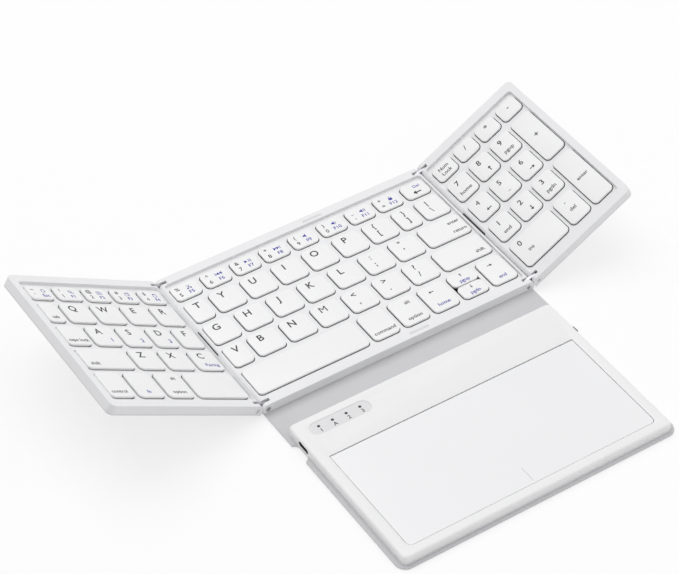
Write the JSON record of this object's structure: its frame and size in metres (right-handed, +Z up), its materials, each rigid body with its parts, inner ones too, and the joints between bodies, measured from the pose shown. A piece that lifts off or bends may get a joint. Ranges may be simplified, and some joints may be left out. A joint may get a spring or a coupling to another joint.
{
  "type": "folding keyboard",
  "caption": "Folding keyboard with side panels on double-pivot hinges, a number pad and a touchpad panel on a flexible cover.",
  "frame": {"origin": "middle of the centre panel, on the surface that its feet stand on", "axes": "+X to the right along the hinged panels, +Y away from the user, +Z up"},
  "size_m": [0.3144, 0.2308, 0.0546],
  "materials": {
    "shell": "satin moulded",
    "lower_shell": "fine texture",
    "key_cap": "satin moulded",
    "steel": "rolled",
    "link_steel": "brushed",
    "film": "printed film",
    "rubber": "matt",
    "cover": "fine grain",
    "pad_glass": "satin etched",
    "board": "solder mask",
    "foil": "foil",
    "black": "matt",
    "window": "satin"
  },
  "bodies": {
    "centre_panel": {"centre_frame": "shell", "centre_deck": "shell", "centre_base": "lower_shell", "centre_key_plate": "steel", "centre_circuit": "film", "centre_dome_sheet": "rubber", "centre_hinge_pins": "steel", "rim_bumpers": "rubber", "cover_back": "cover", "back_feet": "rubber"},
    "left_link_bars": {"left_links": "link_steel"},
    "right_link_bars": {"right_links": "link_steel"},
    "left_panel": {"left_frame": "shell", "left_deck": "shell", "left_base": "lower_shell", "left_key_plate": "steel", "left_circuit": "film", "left_dome_sheet": "rubber", "left_hinge_pins": "steel"},
    "right_panel": {"right_frame": "shell", "right_deck": "shell", "right_base": "lower_shell", "right_key_plate": "steel", "right_circuit": "film", "right_dome_sheet": "rubber", "right_hinge_pins": "steel"},
    "spine": {"cover_spine": "cover"},
    "touchpad_panel": {"touchpad_housing": "shell", "touchpad_base": "lower_shell", "click_switch": "steel", "battery": "foil", "controller_board": "board", "usb_port": "steel", "power_switch_body": "black", "indicator_window": "window", "indicator_leds": "black", "cover_front": "cover", "front_feet": "rubber"},
    "pad_plate": {"glass_pad": "pad_glass", "sensor_board": "board"},
    "switch_knob": {"power_switch_knob": "black"},
    "left_keys_row1": {"left_keys_row1": "key_cap"},
    "left_keys_row2": {"left_keys_row2": "key_cap"},
    "left_keys_row3": {"left_keys_row3": "key_cap"},
    "left_keys_row4": {"left_keys_row4": "key_cap"},
    "left_keys_row5": {"left_keys_row5": "key_cap"},
    "centre_keys_row1": {"centre_keys_row1": "key_cap"},
    "centre_keys_row2": {"centre_keys_row2": "key_cap"},
    "centre_keys_row3": {"centre_keys_row3": "key_cap"},
    "centre_keys_row4": {"centre_keys_row4": "key_cap"},
    "centre_keys_row5": {"centre_keys_row5": "key_cap"},
    "centre_space_key": {"centre_space_key": "key_cap"},
    "up_down_keys": {"up_down_keys": "key_cap"},
    "right_keys_row1": {"right_keys_row1": "key_cap"},
    "right_keys_row2": {"right_keys_row2": "key_cap"},
    "right_keys_row3": {"right_keys_row3": "key_cap"},
    "right_keys_row4": {"right_keys_row4": "key_cap"},
    "right_keys_row5": {"right_keys_row5": "key_cap"},
    "plus_key": {"plus_key": "key_cap"},
    "number_enter_key": {"number_enter_key": "key_cap"}
  },
  "joints": [
    {"name": "left_link_turn", "type": "hinge", "parent": "centre_panel", "child": "left_link_bars", "pos_m": [-0.0803, 0, 0.0038], "axis": [0, 1, 0], "range_deg": [-15, 75]},
    {"name": "left_panel_turn", "type": "hinge", "parent": "left_link_bars", "child": "left_panel", "pos_m": [-0.08668, 0, 0.00551], "axis": [0, 1, 0], "range_deg": [-15, 75]},
    {"name": "right_link_turn", "type": "hinge", "parent": "centre_panel", "child": "right_link_bars", "pos_m": [0.0803, 0, 0.0038], "axis": [0, -1, 0], "range_deg": [-15, 75]},
    {"name": "right_panel_turn", "type": "hinge", "parent": "right_link_bars", "child": "right_panel", "pos_m": [0.08668, 0, 0.00551], "axis": [0, -1, 0], "range_deg": [-15, 75]},
    {"name": "spine_fold", "type": "hinge", "parent": "centre_panel", "child": "spine", "pos_m": [0, -0.0544, 0.0014], "axis": [-1, 0, 0], "range_deg": [0, 90]},
    {"name": "touchpad_fold", "type": "hinge", "parent": "spine", "child": "touchpad_panel", "pos_m": [0, -0.07135, 0.0014], "axis": [-1, 0, 0], "range_deg": [0, 90]},
    {"name": "left_keys_row1_press", "type": "slide", "parent": "left_panel", "child": "left_keys_row1", "axis": [-0.5, 0, -0.866], "range_m": [0, 0.001], "stiffness_N_per_m": 600, "springref_m": -0.0005},
    {"name": "left_keys_row2_press", "type": "slide", "parent": "left_panel", "child": "left_keys_row2", "axis": [-0.5, 0, -0.866], "range_m": [0, 0.001], "stiffness_N_per_m": 600, "springref_m": -0.0005},
    {"name": "left_keys_row3_press", "type": "slide", "parent": "left_panel", "child": "left_keys_row3", "axis": [-0.5, 0, -0.866], "range_m": [0, 0.001], "stiffness_N_per_m": 600, "springref_m": -0.0005},
    {"name": "left_keys_row4_press", "type": "slide", "parent": "left_panel", "child": "left_keys_row4", "axis": [-0.5, 0, -0.866], "range_m": [0, 0.001], "stiffness_N_per_m": 600, "springref_m": -0.0005},
    {"name": "left_keys_row5_press", "type": "slide", "parent": "left_panel", "child": "left_keys_row5", "axis": [-0.5, 0, -0.866], "range_m": [0, 0.001], "stiffness_N_per_m": 600, "springref_m": -0.0005},
    {"name": "centre_keys_row1_press", "type": "slide", "parent": "centre_panel", "child": "centre_keys_row1", "axis": [0, 0, -1], "range_m": [0, 0.001], "stiffness_N_per_m": 600, "springref_m": -0.0005},
    {"name": "centre_keys_row2_press", "type": "slide", "parent": "centre_panel", "child": "centre_keys_row2", "axis": [0, 0, -1], "range_m": [0, 0.001], "stiffness_N_per_m": 600, "springref_m": -0.0005},
    {"name": "centre_keys_row3_press", "type": "slide", "parent": "centre_panel", "child": "centre_keys_row3", "axis": [0, 0, -1], "range_m": [0, 0.001], "stiffness_N_per_m": 600, "springref_m": -0.0005},
    {"name": "centre_keys_row4_press", "type": "slide", "parent": "centre_panel", "child": "centre_keys_row4", "axis": [0, 0, -1], "range_m": [0, 0.001], "stiffness_N_per_m": 600, "springref_m": -0.0005},
    {"name": "centre_keys_row5_press", "type": "slide", "parent": "centre_panel", "child": "centre_keys_row5", "axis": [0, 0, -1], "range_m": [0, 0.001], "stiffness_N_per_m": 600, "springref_m": -0.0005},
    {"name": "centre_space_key_press", "type": "slide", "parent": "centre_panel", "child": "centre_space_key", "axis": [0, 0, -1], "range_m": [0, 0.001], "stiffness_N_per_m": 600, "springref_m": -0.0005},
    {"name": "up_down_keys_press", "type": "slide", "parent": "centre_panel", "child": "up_down_keys", "axis": [0, 0, -1], "range_m": [0, 0.001], "stiffness_N_per_m": 600, "springref_m": -0.0005},
    {"name": "right_keys_row1_press", "type": "slide", "parent": "right_panel", "child": "right_keys_row1", "axis": [0.5, 0, -0.866], "range_m": [0, 0.001], "stiffness_N_per_m": 600, "springref_m": -0.0005},
    {"name": "right_keys_row2_press", "type": "slide", "parent": "right_panel", "child": "right_keys_row2", "axis": [0.5, 0, -0.866], "range_m": [0, 0.001], "stiffness_N_per_m": 600, "springref_m": -0.0005},
    {"name": "right_keys_row3_press", "type": "slide", "parent": "right_panel", "child": "right_keys_row3", "axis": [0.5, 0, -0.866], "range_m": [0, 0.001], "stiffness_N_per_m": 600, "springref_m": -0.0005},
    {"name": "right_keys_row4_press", "type": "slide", "parent": "right_panel", "child": "right_keys_row4", "axis": [0.5, 0, -0.866], "range_m": [0, 0.001], "stiffness_N_per_m": 600, "springref_m": -0.0005},
    {"name": "right_keys_row5_press", "type": "slide", "parent": "right_panel", "child": "right_keys_row5", "axis": [0.5, 0, -0.866], "range_m": [0, 0.001], "stiffness_N_per_m": 600, "springref_m": -0.0005},
    {"name": "plus_key_press", "type": "slide", "parent": "right_panel", "child": "plus_key", "axis": [0.5, 0, -0.866], "range_m": [0, 0.001], "stiffness_N_per_m": 600, "springref_m": -0.0005},
    {"name": "number_enter_key_press", "type": "slide", "parent": "right_panel", "child": "number_enter_key", "axis": [0.5, 0, -0.866], "range_m": [0, 0.001], "stiffness_N_per_m": 600, "springref_m": -0.0005},
    {"name": "pad_click", "type": "slide", "parent": "touchpad_panel", "child": "pad_plate", "axis": [0, 0, -1], "range_m": [0, 0.0003], "stiffness_N_per_m": 3000, "springref_m": -0.0005},
    {"name": "power_slide", "type": "slide", "parent": "touchpad_panel", "child": "switch_knob", "axis": [0, 1, 0], "range_m": [0, 0.002]}
  ]
}
